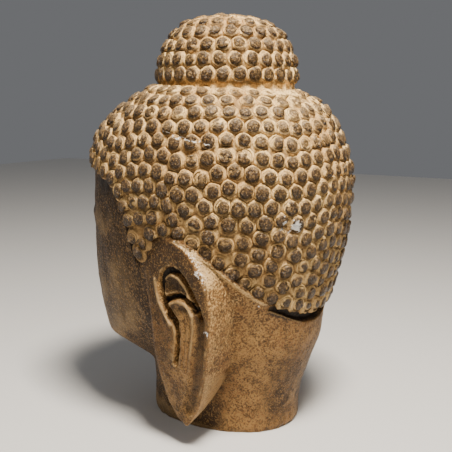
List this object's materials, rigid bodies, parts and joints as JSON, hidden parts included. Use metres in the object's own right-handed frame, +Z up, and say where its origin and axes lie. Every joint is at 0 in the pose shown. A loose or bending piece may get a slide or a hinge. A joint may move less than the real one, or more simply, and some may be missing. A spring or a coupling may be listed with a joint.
{
  "type": "stone buddha head",
  "caption": "Carved stone head with rows of snail curls, a domed topknot and long-lobed ears, resting on the flat cut of its neck.",
  "frame": {"origin": "centre of the bounding box at the flat underside of the neck", "axes": "+Z up, the face looks along -Y, the head's left ear is toward +X"},
  "size_m": [0.2948, 0.3532, 0.5006],
  "materials": {
    "stone": "weathered brown stone with dark patina in the carving and worn light edges"
  },
  "bodies": {
    "root": {"stone_head": "stone"}
  },
  "joints": []
}
